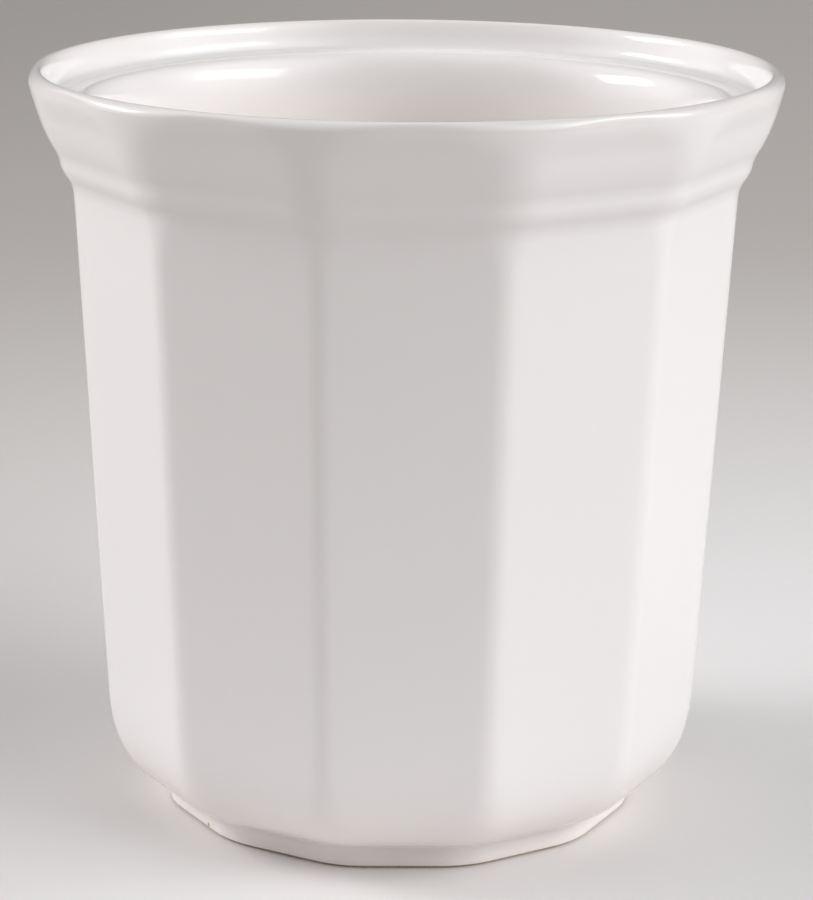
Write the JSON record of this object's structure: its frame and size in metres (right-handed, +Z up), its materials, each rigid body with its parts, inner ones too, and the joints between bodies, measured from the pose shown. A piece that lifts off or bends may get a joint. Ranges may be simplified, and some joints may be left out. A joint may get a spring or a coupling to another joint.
{
  "type": "kitchen canister",
  "caption": "Open faceted kitchen canister in white glazed stoneware, with a moulded flared collar, a round lip, a lid ledge inside the mouth and a foot ring.",
  "frame": {"origin": "centre of the standing face of the foot ring, on the canister's axis", "axes": "+Z up along the axis, -Y square to the middle of one facet, +X to the right seen from that facet"},
  "size_m": [0.1856, 0.1856, 0.19],
  "materials": {
    "bare_stoneware": "fired buff clay, dry and matt, bare only on the foot ring",
    "white_glaze": "smooth glossy warm-white glaze with soft edges and a few pinhole specks"
  },
  "bodies": {
    "root": {"stoneware_body": "bare_stoneware", "glaze_coat": "white_glaze", "underside_glaze": "white_glaze"}
  },
  "joints": []
}
